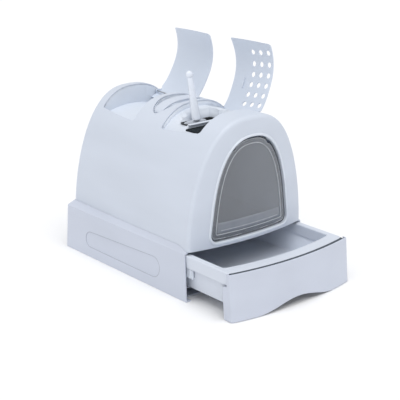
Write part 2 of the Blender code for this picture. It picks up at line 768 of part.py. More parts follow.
# ---------------------------------------------------------------- hatches
def build_hatch(name, span, tilt, vented):
    """A hatch modelled shut, then turned open about its hinge rod."""
    gap = HATCH_CLEARANCE
    panel = slab(name, span[0], span[1], gap, roof(0.0), roof(HATCH_THICKNESS), "white_shell",
                 columns=19)
    point, axis = hinge_frame(span, tilt)
    cut(panel, box("cutter", (TAIL_END_X, 0.11), span, (0.35, 0.45)))
    for end, inward in ((span[0], 1), (span[1], -1)):
        cut(panel, box("cutter", (TAIL_X, 0.11), sorted((end, end + inward * TAIL_INSET)), (0.35, 0.45)))
        near, far = sorted((end + inward * (TAIL_INSET + 0.0014), end + inward * (TAIL_INSET + 0.0044)))
        middle = (near + far) / 2
        hub = point + axis * ((middle - point.y) / axis.y)
        top = roof(HATCH_THICKNESS - 0.0008)
        radius = 0.005
        outline = [(hub.x + radius * cos(radians(t)), hub.z + radius * sin(radians(t)))
                   for t in spread(190, 350, 9)]
        outline += [(hub.x + s, top(hub.x + s, middle)) for s in spread(0.010, -0.010, 5)]
        join_solids(panel, prism("ear", outline, near, far, axis="Y"))
    cut(panel, rod("cutter", point - axis * 0.09, point + axis * 0.09, HINGE_HOLE_RADIUS))
    if vented:
        for row in range(VENT_ROWS):
            for column in range(VENT_COLUMNS):
                x = VENT_FIRST[0] + VENT_PITCH_X * row
                y = VENT_FIRST[1] - VENT_PITCH_Y * column
                slope = (arch_z(x + 0.002, y) - arch_z(x - 0.002, y)) / 0.004
                normal = Vector((-slope, 0, 1)).normalized() * 0.012
                spot = Vector((x, y, arch_z(x, y)))
                cut(panel, rod("cutter", spot - normal, spot + normal, VENT_RADIUS, sides=12))
    turn_open(panel, point, axis)
    rod(name + "_rod", point - axis * ((span[1] - span[0]) / 2 + 0.003),
        point + axis * ((span[1] - span[0]) / 2 + 0.003), HINGE_ROD_RADIUS, "steel")
    if vented:
        rib_y = span[0] + CATCH_SHARE * (span[1] - span[0])
        rib = grid_slab(name + "_rib", [[(x, rib_y + side * 0.0012) for x in spread(*CATCH_X, 6)]
                                        for side in (-1, 1)],
                        roof(HATCH_THICKNESS + 0.0006), roof(HATCH_THICKNESS + 0.0036), "white_trim")
        turn_open(rib, point, axis)


def turn_open(piece, point, axis):
    """Sets the origin on the hinge and turns the piece from shut to open."""
    piece.data.transform(Matrix.Translation(-point))
    piece.data.transform(Matrix.Rotation(HATCH_OPEN_ANGLE, 4, axis))
    piece.location = point


# ---------------------------------------------------------------- handle
def cup_floor(x, y):
    return arch_z(x, HANDLE_CENTRE_Y) - 0.014 - 0.010 * (1 - (x / HANDLE_HALF_X) ** 2)


def build_handle():
    cup = oval_slab("handle_cup", -0.004, roof(SEAT_DEPTH), roof(SEAT_DEPTH + 0.0026), "white_shell")
    body = oval_slab("body", 0.0006, roof(SEAT_DEPTH + 0.0013), lowered(cup_floor, 0.0024))
    join_solids(cup, body)
    cut(cup, oval_slab("cutter", 0.0026, roof(-0.01), cup_floor))
    rings = []
    half = HANDLE_BAR_HALF_X
    for f in spread(-1.0, 1.0, 25):
        x = half * f
        foot = max(0.0, (abs(f) - 0.86) / 0.14)
        top = roof(-0.0006)(x, HANDLE_CENTRE_Y) - 0.004 * foot ** 2
        under = top - 0.0055
        if abs(f) > 0.87:
            under = cup_floor(x, HANDLE_CENTRE_Y) + GAP
        oval = (HANDLE_HALF_Y - 0.0042) * sqrt(1 - (x / (HANDLE_HALF_X - 0.0042)) ** 2)
        reach = min(HANDLE_BAR_HALF_Y, oval)
        ring = []
        for share, height in ((-1, under), (-1, top - 0.0022), (-0.86, top - 0.0004), (0, top),
                              (0.86, top - 0.0004), (1, top - 0.0022), (1, under), (0, under)):
            ring.append((x, HANDLE_CENTRE_Y + reach * share, height))
        rings.append(ring)
    mesh_object("carry_handle", *loft(rings), "white_shell")


# ---------------------------------------------------------------- scoop and its sheath
def scoop_y(z):
    return SCOOP_SLOT_Y + (z - SCOOP_SLOT_Z) * sin(SCOOP_LEAN) / cos(SCOOP_LEAN)


def rounded_plan(half_x, half_y, radius, sides=4):
    points = []
    for cx, cy, start in ((1, 1, 0), (-1, 1, 90), (-1, -1, 180), (1, -1, 270)):
        for turn in spread(start, start + 90, sides):
            points.append((cx * (half_x - radius) + radius * cos(radians(turn)),
                           cy * (half_y - radius) + radius * sin(radians(turn))))
    return points


def build_sheath():
    flange_z = COLLAR_Z - GAP
    inner, outer, flange = 0.0484, 0.0502, 0.0542
    levels = [(outer, 0.0095, SHEATH_BOTTOM_Z), (outer, 0.0095, flange_z - 0.002),
              (flange, 0.0125, flange_z - 0.002), (flange, 0.0125, flange_z),
              (inner, 0.0078, flange_z), (inner, 0.0078, SHEATH_BOTTOM_Z + 0.0018)]
    rings = []
    for half_x, half_y, z in levels:
        outline = rounded_plan(half_x, half_y, 0.004)
        rings.append([(SHEATH_X + x, scoop_y(z) + y, z) for x, y in outline])
    mesh_object("scoop_sheath", *loft(rings), "filter_black")


def build_scoop():
    """A slotted, dished blade with round shoulders, a leaning stem and a ball."""
    profile = [(0.3945, 0.014), (0.3935, 0.024), (0.3915, 0.0315), (0.388, 0.0362), (0.3825, 0.0382),
               (0.36, 0.0382), (0.33, 0.0382), (0.316, 0.0375), (0.311, 0.0345),
               (BLADE_BOTTOM_Z, 0.029)]
    rings = []
    for z, half in profile:
        front, back = [], []
        for f in spread(-1.0, 1.0, 9):
            x = half * f
            dish = 0.004 * (x / BLADE_HALF_WIDTH) ** 2
            y = scoop_y(z) - 0.001 + dish
            front.append((SCOOP_X + x, y, z))
            back.append((SCOOP_X + x, y + BLADE_THICKNESS, z))
        rings.append(front + back[::-1])
    scoop = mesh_object("scoop", *loft(rings), "scoop_plastic")
    for k in range(7):
        x = SCOOP_X + (k - 3) * 0.0092
        slot = rounded_plan(0.0024, 0.022, 0.0022, 3)
        outline = [(x + a, 0.348 + b) for a, b in slot]
        cut(scoop, prism("cutter", outline, -0.14, -0.09, axis="Y"))
    along = Vector((0, sin(SCOOP_LEAN), cos(SCOOP_LEAN)))
    base = Vector((SCOOP_X + 0.003, SCOOP_SLOT_Y, SCOOP_SLOT_Z)) + along * 0.001
    stem = [(0.0, 0.0065), (0.004, 0.0118), (0.012, 0.0124), (0.045, 0.0104), (0.085, 0.0084),
            (0.100, 0.0078), (0.1075, 0.0070)]
    ball_centre, ball_radius = 0.1145, 0.0102
    profile = list(stem)
    for turn in spread(-52, 84, 8):
        angle = radians(turn)
        profile.append((ball_centre + ball_radius * sin(angle), ball_radius * cos(angle)))
    profile = [p for p in profile if p[1] > 0.0009]
    side = Vector((1, 0, 0))
    other = along.cross(side)
    rings = [[base + along * s + (side * cos(a) + other * sin(a) * STEM_FLATNESS) * r
              for a in [2 * pi * k / 14 for k in range(14)]] for s, r in profile]
    join_solids(scoop, mesh_object("handle", *loft(rings)))
    set_origin(scoop, (SCOOP_X, SCOOP_SLOT_Y, SCOOP_SLOT_Z))


# ---------------------------------------------------------------- drawer
def tub_plan(half, front, rear, bow, corner):
    """A rounded rectangle with a bowed front, anticlockwise from the front left corner."""
    points = []
    def bowed(x):
        return front - bow * (1 - (x / half) ** 2)
    inner = half - corner
    for x in spread(-inner, inner, 11):
        points.append((x, bowed(x)))
    start = bowed(inner)
    for turn in spread(-90, 0, 6)[1:]:
        angle = radians(turn)
        points.append((inner + corner * cos(angle), start + corner + corner * sin(angle)))
    for cx, begin in ((1, 0), (-1, 90)):
        for turn in spread(begin, begin + 90, 5):
            angle = radians(turn)
            points.append((cx * inner + corner * cos(angle), rear - corner + corner * sin(angle)))
    for turn in spread(180, 270, 6)[:-1]:
        angle = radians(turn)
        points.append((-inner + corner * cos(angle), start + corner + corner * sin(angle)))
    return points


def build_litter_tray():
    def ring(z, inset):
        run = (z - TRAY_BOTTOM_Z) / (TRAY_TOP_Z - TRAY_BOTTOM_Z)
        half = TRAY_HALF_BOTTOM + (TRAY_HALF_TOP - TRAY_HALF_BOTTOM) * run - inset
        lean = 0.004 * (1 - run)
        plan = tub_plan(half, TRAY_FRONT_Y + lean + inset, TRAY_REAR_Y - lean - inset, DRAWER_BOW,
                        TRAY_CORNER - inset)
        return [(x, y, z) for x, y in plan]
    low, high = TRAY_BOTTOM_Z, TRAY_TOP_Z
    rings = [ring(low, 0.003), ring(low + 0.003, 0.0), ring(high, 0.0), ring(high, TRAY_WALL),
             ring(low + 0.0055, TRAY_WALL), ring(low + TRAY_WALL, 0.0055)]
    tray = mesh_object("litter_tray", *loft(rings), "white_tray")
    for side in (-1, 1):
        ledge = box("ledge", sorted((side * 0.1785, side * 0.1833)), (CLIP_Y[0] + 0.006,
                    CLIP_Y[1] - 0.006), (0.0660, 0.0685))
        join_solids(tray, ledge)


def build_rim_frame():
    """An inverted channel over the tray's edge, with lugs that carry the clips."""
    wall = 0.0025
    outer = (RIM_HALF_OUTER, RIM_FRONT_OUTER, RIM_REAR_OUTER, RIM_CORNER_OUTER)
    inner = (RIM_HALF_INNER, RIM_FRONT_INNER, RIM_REAR_INNER, RIM_CORNER_INNER)

    def ring(base, z, shift):
        half, front, rear, corner = base
        plan = tub_plan(half - shift, front + shift, rear - shift, DRAWER_BOW + 0.001, corner - shift)
        return [(x, y, z) for x, y in plan]
    top = RIM_TOP_Z
    inner_low = 0.086
    rings = [ring(outer, RIM_SKIRT_Z, wall), ring(outer, RIM_SKIRT_Z, 0.0),
             ring(outer, top - 0.002, 0.0), ring(outer, top, 0.002),
             ring(inner, top, -0.002), ring(inner, top - 0.002, 0.0), ring(inner, inner_low, 0.0),
             ring(inner, inner_low, -wall), ring(inner, top - wall, -wall),
             ring(outer, top - wall, wall)]
    frame = mesh_object("rim_frame", *loft(rings, loop=True), "white_tray")
    for side in (-1, 1):
        for near, far in ((CLIP_Y[0] - 0.0056, CLIP_Y[0] - 0.0006),
                          (CLIP_Y[1] + 0.0006, CLIP_Y[1] + 0.0056)):
            lug = box("lug", sorted((side * 0.1838, side * 0.1892)), (near, far), (0.0841, 0.0930))
            join_solids(frame, lug)
        cut(frame, rod("cutter", (side * CLIP_PIVOT_X, CLIP_Y[0] - 0.02, CLIP_PIVOT_Z),
                       (side * CLIP_PIVOT_X, CLIP_Y[1] + 0.02, CLIP_PIVOT_Z), 0.0015, sides=12))


def build_clips():
    """Levers with upright ribs outside and a hook under the tray's ledge."""
    for side, word in ((-1, "left"), (1, "right")):
        section = [(0.1868, 0.0865), (0.1873, 0.0830), (0.1873, 0.0580), (0.1862, 0.0574),
                   (0.1808, 0.0598), (0.1808, 0.0618), (0.1838, 0.0635), (0.1838, 0.0870),
                   (0.1846, 0.0887), (0.1862, 0.0887)]
        outline = [(side * x, z) for x, z in section]
        clip = prism(f"clip_{word}", outline, *CLIP_Y, "white_trim", axis="Y")
        for k in range(5):
            y = CLIP_Y[0] + 0.004 + 0.008 * k
            rib = box("rib", sorted((side * 0.1868, side * 0.1887)), (y - 0.0016, y + 0.0016),
                      (0.0595, 0.0815))
            join_solids(clip, rib)
        for start, end in ((CLIP_Y[0] - 0.004, CLIP_Y[0] + 0.003),
                           (CLIP_Y[1] - 0.003, CLIP_Y[1] + 0.004)):
            stub = rod("stub", (side * CLIP_PIVOT_X, start, CLIP_PIVOT_Z),
                       (side * CLIP_PIVOT_X, end, CLIP_PIVOT_Z), 0.0012, sides=12)
            join_solids(clip, stub)
        set_origin(clip, (side * CLIP_PIVOT_X, (CLIP_Y[0] + CLIP_Y[1]) / 2, CLIP_PIVOT_Z))


def panel_y(x, z):
    """Outside of the drawer's front panel."""
    lean = PANEL_LEAN * (PANEL_TOP_Z - z)
    return PANEL_SIDE_Y - lean - PANEL_BOW * (1 - (x / PANEL_HALF_WIDTH) ** 2)


def return_y(z):
    """Rear edge of the panel's side returns, parallel to the plinth's front edge."""
    slope = (PLINTH_FRONT_TOP - PLINTH_FRONT_FLOOR) / PLINTH_TOP_Z
    return PLINTH_FRONT_FLOOR + slope * z - DRAWER_OPEN - 0.0008


def build_drawer_front():
    """The bowed panel with side returns, a top lip, a hand cut-out and two brackets."""
    wall = 0.003
    columns = 17

    def outline_at(z, notch):
        half = PANEL_HALF_WIDTH
        radius = 0.004
        back = return_y(z) if notch == 0 else panel_y(half, z) + radius + 0.0075
        middle = [(half - radius) * f for f in spread(-1.0, 1.0, columns)[1:-1]]
        left = [(-half, back)] + [(-half + radius * (1 - cos(radians(t))),
                                   panel_y(half, z) + radius * (1 - sin(radians(t))))
                                  for t in spread(0, 90, 4)]
        right = [(-x, y) for x, y in left[::-1]]
        front = left + [(x, panel_y(x, z)) for x in middle] + right
        inside = []
        inner_half = half - wall
        for x, y in front[::-1]:
            new_x = max(-inner_half, min(inner_half, x))
            new_y = y if y == back else max(y + wall, panel_y(new_x, z) + wall)
            if y != back:
                new_y = min(new_y, back - 0.0002)
            inside.append((new_x, new_y))
        return front + inside

    heights = [(PANEL_BOTTOM_Z, 0), (0.03, 0), (PANEL_NOTCH_Z - 0.004, 0), (PANEL_NOTCH_Z, 1),
               (PANEL_TOP_Z - 0.004, 1)]
    rings = [[(x, y, z) for x, y in outline_at(z, notch)] for z, notch in heights]
    top = outline_at(PANEL_TOP_Z - 0.001, 1)
    count = len(top) // 2
    rings.append([(x, y, PANEL_TOP_Z - 0.001) for x, y in top])
    shifted = [(x * 0.997, y + 0.001) for x, y in top[:count]] + list(top[count:])
    rings.append([(x, y, PANEL_TOP_Z) for x, y in shifted])
    panel = mesh_object("drawer_front", *loft(rings), "white_base")
    lip = []
    for shift in (0.0012, 0.0040):
        lip.append([(x, panel_y(x, PANEL_TOP_Z) + shift) for x in spread(-0.1925, 0.1925, 17)])
    lip_solid = grid_slab("lip", lip, level(PANEL_TOP_Z - 0.0003), level(PANEL_TOP_Z - 0.0035))
    join_solids(panel, lip_solid)
    for centre in (-0.105, 0.105):
        tray_face = TRAY_FRONT_Y - DRAWER_BOW * (1 - (centre / TRAY_HALF_TOP) ** 2)
        bracket = box("bracket", (centre - 0.012, centre + 0.012),
                      (panel_y(centre, 0.05) + 0.0015, tray_face - 0.0015), (0.046, 0.054))
        join_solids(panel, bracket)
    arch = [(CUTOUT_HALF_WIDTH * f, PANEL_BOTTOM_Z + CUTOUT_HEIGHT * (1 + cos(pi * f)) / 2)
            for f in spread(1.0, -1.0, 25)[1:-1]]
    cutter_outline = [(-CUTOUT_HALF_WIDTH, -0.01), (CUTOUT_HALF_WIDTH, -0.01)] + arch
    cut(panel, prism("cutter", cutter_outline, -0.46, -0.36, axis="Y"))


# ---------------------------------------------------------------- build
def main():
    clear_scene()
    build_plinth()
    build_runners()
    build_hood()
    build_door_frame()
    build_door()
    build_front_tray()
    build_rear_tray()
    build_filter()
    build_handle()
    build_hatch("front_hatch", FRONT_OPENING, FRONT_AXIS_TILT, True)
    build_hatch("rear_hatch", REAR_OPENING, REAR_AXIS_TILT, False)
    build_sheath()
    build_scoop()
    build_litter_tray()
    build_rim_frame()
    build_clips()
    build_drawer_front()


main()
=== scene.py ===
"""Looks for the hooded cat litter box: materials, small moulded details, light and camera."""
import json
from math import cos, pi, radians, sin

import bmesh
import bpy
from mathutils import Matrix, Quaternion, Vector
from mathutils.bvhtree import BVHTree


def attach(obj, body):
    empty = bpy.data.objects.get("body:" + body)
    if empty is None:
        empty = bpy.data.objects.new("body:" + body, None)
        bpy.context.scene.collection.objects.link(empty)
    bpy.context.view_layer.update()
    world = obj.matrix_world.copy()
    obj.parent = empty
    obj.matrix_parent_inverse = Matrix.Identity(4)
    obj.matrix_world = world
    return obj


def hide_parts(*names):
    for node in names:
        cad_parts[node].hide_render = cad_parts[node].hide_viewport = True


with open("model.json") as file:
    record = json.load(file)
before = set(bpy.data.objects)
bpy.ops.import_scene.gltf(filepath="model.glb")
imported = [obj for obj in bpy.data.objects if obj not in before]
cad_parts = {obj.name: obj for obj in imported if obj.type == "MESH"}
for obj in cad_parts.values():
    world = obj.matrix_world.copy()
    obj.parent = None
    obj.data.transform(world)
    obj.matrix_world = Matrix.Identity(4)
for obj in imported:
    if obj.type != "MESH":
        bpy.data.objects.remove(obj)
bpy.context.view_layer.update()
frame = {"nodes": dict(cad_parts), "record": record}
nodes = frame["nodes"]


# ---------------------------------------------------------------- node materials
class Shader:
    """A node material under construction, with short ways to add and link nodes."""

    def __init__(self, name):
        self.material = bpy.data.materials.new(name)
        self.material.use_nodes = True
        self.tree = self.material.node_tree
        self.tree.nodes.clear()
        output = self.tree.nodes.new("ShaderNodeOutputMaterial")
        self.shader = self.tree.nodes.new("ShaderNodeBsdfPrincipled")
        self.tree.links.new(self.shader.outputs[0], output.inputs[0])
        coordinates = self.tree.nodes.new("ShaderNodeTexCoord")
        self.place = coordinates.outputs["Object"]

    def fixed(self, **values):
        """Sets constants straight on the shader's sockets."""
        for key, value in values.items():
            self.shader.inputs[key.replace("_", " ")].default_value = value

    def link(self, start, end):
        self.tree.links.new(start, end)

    def noise(self, scale, detail=3.0, roughness=0.55, stretch=None):
        node = self.tree.nodes.new("ShaderNodeTexNoise")
        node.inputs["Scale"].default_value = scale
        node.inputs["Detail"].default_value = detail
        node.inputs["Roughness"].default_value = roughness
        start = self.place
        if stretch:
            mapping = self.tree.nodes.new("ShaderNodeMapping")
            mapping.inputs["Scale"].default_value = stretch
            self.link(start, mapping.inputs["Vector"])
            start = mapping.outputs["Vector"]
        self.link(start, node.inputs["Vector"])
        return node.outputs["Fac"]

    def ramp(self, value, low, high, start, end):
        """Maps a value from low..high to start..end."""
        node = self.tree.nodes.new("ShaderNodeMapRange")
        node.inputs["From Min"].default_value = low
        node.inputs["From Max"].default_value = high
        node.inputs["To Min"].default_value = start
        node.inputs["To Max"].default_value = end
        self.link(value, node.inputs["Value"])
        return node.outputs["Result"]

    def mix(self, value, first, second):
        node = self.tree.nodes.new("ShaderNodeMix")
        node.data_type = "RGBA"
        self.link(value, node.inputs["Factor"])
        for key, colour in (("A", first), ("B", second)):
            socket = [s for s in node.inputs if s.name == key and s.type == "RGBA"][0]
            if isinstance(colour, tuple):
                socket.default_value = (*colour, 1.0)
            else:
                self.link(colour, socket)
        return [s for s in node.outputs if s.type == "RGBA"][0]

    def bump(self, height, distance, strength=1.0, before=None):
        node = self.tree.nodes.new("ShaderNodeBump")
        node.inputs["Strength"].default_value = strength
        node.inputs["Distance"].default_value = distance
        self.link(height, node.inputs["Height"])
        if before is not None:
            self.link(before, node.inputs["Normal"])
        return node.outputs["Normal"]


def moulded(name, colour, rough, grain, specular=0.5, coat=0.0):
    """Moulded plastic: faint flow marks in the colour, a fine grain, and gloss that varies a little."""
    make = Shader(name)
    flow = make.noise(7.0, 2.0, 0.5, stretch=(1.0, 0.45, 1.7))
    speckle = make.noise(620.0, 2.0)
    darker = tuple(c * 0.965 for c in colour)
    lighter = tuple(min(1.0, c * 1.02) for c in colour)
    tint = make.mix(make.ramp(flow, 0.35, 0.65, 0.0, 1.0), darker, lighter)
    speckled = tuple(c * 0.975 for c in colour)
    tint = make.mix(make.ramp(speckle, 0.40, 0.75, 0.0, 0.35), tint, speckled)
    make.link(tint, make.shader.inputs["Base Color"])
    smudge = make.noise(23.0, 4.0, 0.6)
    make.link(make.ramp(smudge, 0.3, 0.7, rough - 0.04, rough + 0.05), make.shader.inputs["Roughness"])
    ripple = make.bump(make.noise(38.0, 2.0), 0.0012, 0.10)
    make.link(make.bump(make.noise(1500.0, 2.0), grain, 0.5, before=ripple), make.shader.inputs["Normal"])
    make.fixed(IOR=1.49)
    make.shader.inputs["Specular IOR Level"].default_value = specular
    make.shader.inputs["Coat Weight"].default_value = coat
    make.shader.inputs["Coat Roughness"].default_value = 0.12
    return make.material


def smoky(name):
    """Smoke-tinted translucent door: clear gloss over a dim grey body."""
    make = Shader(name)
    cloud = make.noise(9.0, 2.0, 0.5, stretch=(1.0, 1.0, 0.5))
    tint = make.mix(make.ramp(cloud, 0.35, 0.65, 0.0, 1.0), (0.44, 0.465, 0.505), (0.50, 0.53, 0.575))
    make.link(tint, make.shader.inputs["Base Color"])
    wipe = make.noise(16.0, 5.0, 0.6, stretch=(0.4, 1.0, 1.0))
    make.link(make.ramp(wipe, 0.3, 0.75, 0.05, 0.16), make.shader.inputs["Roughness"])
    make.link(make.bump(make.noise(30.0, 2.0), 0.0008, 0.12), make.shader.inputs["Normal"])
    make.fixed(IOR=1.49)
    make.shader.inputs["Transmission Weight"].default_value = 0.72
    return make.material


def smoky_edge_highlight(name):
    """The door's moulded edges, paler and glossier than its body: a painted highlight where the light
    gathers on them.
    """
    make = Shader(name)
    cloud = make.noise(40.0, 2.0, 0.5)
    # painted highlight: a paler grey than the door's body
    tint = make.mix(make.ramp(cloud, 0.35, 0.65, 0.0, 1.0), (0.47, 0.50, 0.54), (0.58, 0.615, 0.66))
    make.link(tint, make.shader.inputs["Base Color"])
    make.link(make.ramp(cloud, 0.3, 0.7, 0.08, 0.16), make.shader.inputs["Roughness"])
    make.fixed(IOR=1.49)
    make.shader.inputs["Coat Weight"].default_value = 0.6
    make.shader.inputs["Transmission Weight"].default_value = 0.15
    return make.material


def smoky_floor_reflection(name):
    """The paler foot of the door: a painted reflection of the bright floor in the door's lower band."""
    make = Shader(name)
    cloud = make.noise(14.0, 3.0, 0.55, stretch=(1.0, 1.0, 0.6))
    # painted reflection: a less clear tint that shows paler than the door's body
    tint = make.mix(make.ramp(cloud, 0.3, 0.7, 0.0, 1.0), (0.295, 0.320, 0.365), (0.360, 0.385, 0.435))
    make.link(tint, make.shader.inputs["Base Color"])
    make.link(make.ramp(cloud, 0.3, 0.7, 0.10, 0.18), make.shader.inputs["Roughness"])
    make.fixed(IOR=1.49)
    make.shader.inputs["Transmission Weight"].default_value = 0.25
    return make.material


def foam(name):
    """Charcoal foam: open cells that swallow the light, the hollows of the cells painted darker as painted
    shade.
    """
    make = Shader(name)
    cells = make.tree.nodes.new("ShaderNodeTexVoronoi")
    cells.inputs["Scale"].default_value = 420.0
    make.link(make.place, cells.inputs["Vector"])
    pores_and_shade = make.ramp(cells.outputs["Distance"], 0.15, 0.65, 0.0, 1.0)
    # painted shade: the cells' hollows are darker than their walls
    tint = make.mix(pores_and_shade, (0.004, 0.006, 0.008), (0.020, 0.027, 0.034))
    make.link(tint, make.shader.inputs["Base Color"])
    make.link(make.ramp(pores_and_shade, 0.0, 1.0, 0.98, 0.80), make.shader.inputs["Roughness"])
    make.link(make.bump(pores_and_shade, 0.0012, 0.8), make.shader.inputs["Normal"])
    make.shader.inputs["Specular IOR Level"].default_value = 0.2
    return make.material


def steel(name):
    """Drawn wire with fine lengthwise marks."""
    make = Shader(name)
    marks = make.noise(900.0, 3.0, 0.6, stretch=(1.0, 0.03, 1.0))
    tint = make.mix(make.ramp(marks, 0.3, 0.7, 0.0, 1.0), (0.50, 0.51, 0.53), (0.66, 0.67, 0.69))
    make.link(tint, make.shader.inputs["Base Color"])
    make.link(make.ramp(marks, 0.3, 0.7, 0.24, 0.42), make.shader.inputs["Roughness"])
    make.link(make.bump(marks, 0.0002, 0.3), make.shader.inputs["Normal"])
    make.shader.inputs["Metallic"].default_value = 1.0
    return make.material


def studio_floor(name):
    make = Shader(name)
    tint = make.mix(make.ramp(make.noise(2.0), 0.3, 0.7, 0.0, 1.0), (0.93, 0.93, 0.935), (0.95, 0.95, 0.955))
    make.link(tint, make.shader.inputs["Base Color"])
    make.fixed(Roughness=0.9)
    make.shader.inputs["Specular IOR Level"].default_value = 0.1
    return make.material


HOOD_COLOUR = (0.625, 0.675, 0.765)
HATCH_COLOUR = (0.655, 0.715, 0.815)
BASE_COLOUR = (0.590, 0.630, 0.725)
TRAY_COLOUR = (0.67, 0.715, 0.80)
INSERT_COLOUR = (0.69, 0.74, 0.82)
TRIM_COLOUR = (0.70, 0.75, 0.83)
# painted shade: the base colour darkened for the line round the plinth's side panels
SHADE_LINE_COLOUR = tuple(c * 0.62 for c in BASE_COLOUR)

materials = {
    "hood_shell": moulded("hood_plastic", HOOD_COLOUR, 0.40, 0.00003),
    "hatch_shell": moulded("hatch_plastic", HATCH_COLOUR, 0.42, 0.00003),
    "base_shell": moulded("base_plastic", BASE_COLOUR, 0.42, 0.00004),
    "tray": moulded("tray_plastic", TRAY_COLOUR, 0.48, 0.00005),
    "insert": moulded("insert_plastic", INSERT_COLOUR, 0.46, 0.00004),
    "trim": moulded("trim_plastic", TRIM_COLOUR, 0.30, 0.00002, coat=0.2),
    "sheath": moulded("sheath_plastic", (0.035, 0.040, 0.046), 0.45, 0.00004),
    "filter": foam("filter_foam"),
    "scoop_plastic": moulded("scoop_gloss", (0.76, 0.81, 0.90), 0.24, 0.00002, coat=0.3),
    "smoky_door": smoky("door_smoke"),
    "steel_rod": steel("rod_steel"),
    "door_edge_highlight": smoky_edge_highlight("door_edge_highlight"),
    # painted shade: the near-black line round the door's edge, standing in for the gap round the door
    "door_gap_shade": moulded("door_gap_shade_plastic", (0.020, 0.022, 0.026), 0.50, 0.00002, specular=0.25),
    "door_floor_reflection": smoky_floor_reflection("door_floor_reflection"),
    # painted shade: the near-black strip that darkens the gap between the drawer's rim and its panel
    "gap_shade": moulded("gap_shade_plastic", (0.075, 0.090, 0.112), 0.6, 0.00003, specular=0.2),
    "shadow_line": moulded("painted_shade_line_plastic", SHADE_LINE_COLOUR, 0.6, 0.00003),
}

slots = {part["node"]: part["material_slot"] for part in frame["record"]["subparts"]}
bodies = {node: body for body, members in frame["record"]["behaviour"]["bodies"].items()
          for node in members}
WELD_DISTANCE = 2e-6
FLAT_ANGLE = radians(0.15)
SHARP_ANGLE = radians(32)
EASED_ANGLE = radians(40)
EDGE_ROUNDING = {
    "plinth_frame": 0.0010, "litter_tray": 0.0008, "rim_frame": 0.0010, "drawer_front": 0.0010,
    "runner_left": 0.0004, "runner_right": 0.0004, "scoop_sheath": 0.0005, "filter_bar": 0.0004,
    "clip_left": 0.0004, "clip_right": 0.0004, "carry_handle": 0.0008, "front_hatch_rib": 0.0005,
    "front_hatch": 0.0006, "rear_hatch": 0.0006, "scoop": 0.0004, "door_flap": 0.0006,
}


def refine(name):
    """A piece with the CAD node's shape, its moulded edges eased and its round faces smooth."""
    source = nodes[name]
    mesh = source.data.copy()
    mesh.name = name + "_moulded"
    shape = bmesh.new()
    shape.from_mesh(mesh)
    bmesh.ops.remove_doubles(shape, verts=shape.verts, dist=WELD_DISTANCE)
    bmesh.ops.dissolve_limit(shape, angle_limit=FLAT_ANGLE, verts=shape.verts, edges=shape.edges)
    bmesh.ops.triangulate(shape, faces=[face for face in shape.faces if len(face.verts) > 4])
    shape.to_mesh(mesh)
    shape.free()
    mesh.materials.clear()
    mesh.materials.append(materials[slots[name]])
    mesh.shade_smooth()
    mesh.set_sharp_from_angle(angle=SHARP_ANGLE)
    piece = bpy.data.objects.new(name + "_moulded", mesh)
    bpy.context.scene.collection.objects.link(piece)
    width = EDGE_ROUNDING.get(name, 0.0)
    if width:
        ease = piece.modifiers.new("eased_edges", "BEVEL")
        ease.width = width
        ease.segments = 2
        ease.limit_method = "ANGLE"
        ease.angle_limit = EASED_ANGLE
        ease.use_clamp_overlap = True
        ease.harden_normals = False
        ease.miter_outer = "MITER_ARC"
    even = piece.modifiers.new("even_shading", "WEIGHTED_NORMAL")
    even.keep_sharp = True
    even.weight = 60
    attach(piece, bodies[name])
    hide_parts(name)


for part_name in sorted(slots):
    refine(part_name)


# ---------------------------------------------------------------- small pieces
DOORWAY_BOTTOM = 0.132
DOORWAY_RISE = 0.244
DOORWAY_HALF = 0.1285
DOORWAY_TAPER = 0.2
DOORWAY_SIDE_POWER = 3.5
DOORWAY_TOP_POWER = 2.4
WALL_STEPS = 120
SIDE_STEPS = 30
CORNER_STEPS = 6
DOOR_BEAD_SINK = 0.0012
# name, inset, inset at the foot, corner radius, half width, height
DOOR_STEPS = (("door_step_outer", 0.0066, 0.0056, 0.014, 0.0007, 0.0005),
              ("door_step_inner", 0.0175, 0.0160, 0.005, 0.0012, 0.0015))
FOLD_HALF = 0.094
FOLD_LIFT = 0.0255
FOLD_STEPS = 40
FOOT_BAND_COLUMNS = 33
FOOT_BAND_ROWS = 6
FOOT_BAND_LIFT = 0.0185
FOOT_BAND_ROW_HEIGHT = 0.0055
FOOT_BAND_SIDE_INSET = 0.0205
FOOT_BAND_RAISE = 0.00025
FOOT_BAND_SINK = 0.0006

SLOT_X = (-0.0885, 0.008)
SLOT_Y = (-0.112, -0.088)
SLOT_CORNER = 0.006
# (how far outside the slot's edge, height) round the dark ring's section
SHADE_RING_SECTION = ((-0.0004, 0.3812), (-0.0004, 0.3901), (0.0018, 0.3901), (0.0021, 0.3907), (0.0018, 0.3913),
                 (-0.0012, 0.3913), (-0.0016, 0.3907), (-0.0016, 0.3812))

# (y, z, radius, first angle in degrees) of the two round ends of the line on the plinth's sides
SIDE_LINE_ENDS = ((0.147, 0.0475, 0.0208, -90), (-0.1145, 0.0528, 0.0263, 90))

SEAM_HALF = 0.1865
SEAM_COLUMNS = 41
SEAM_FOOT = 0.1085
SEAM_TOP = 0.1122
SEAM_PROBE_Z = 0.1105
SEAM_PROBE_Y = -0.3835
SEAM_BOW = 0.022
PANEL_HALF = 0.1965
SEAM_GAP = 0.0001


def add_piece(name, vertices, faces, material, body, smooth=True):
    """Adds a closed mesh that rides on a body."""
    mesh = bpy.data.meshes.new(name)
    mesh.from_pydata([tuple(v) for v in vertices], [], faces)
    mesh.validate()
    shape = bmesh.new()
    shape.from_mesh(mesh)
    bmesh.ops.recalc_face_normals(shape, faces=shape.faces)
    shape.to_mesh(mesh)
    shape.free()
    for face in mesh.polygons:
        face.use_smooth = smooth
    mesh.materials.append(material)
    piece = bpy.data.objects.new(name, mesh)
    bpy.context.scene.collection.objects.link(piece)
    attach(piece, body)


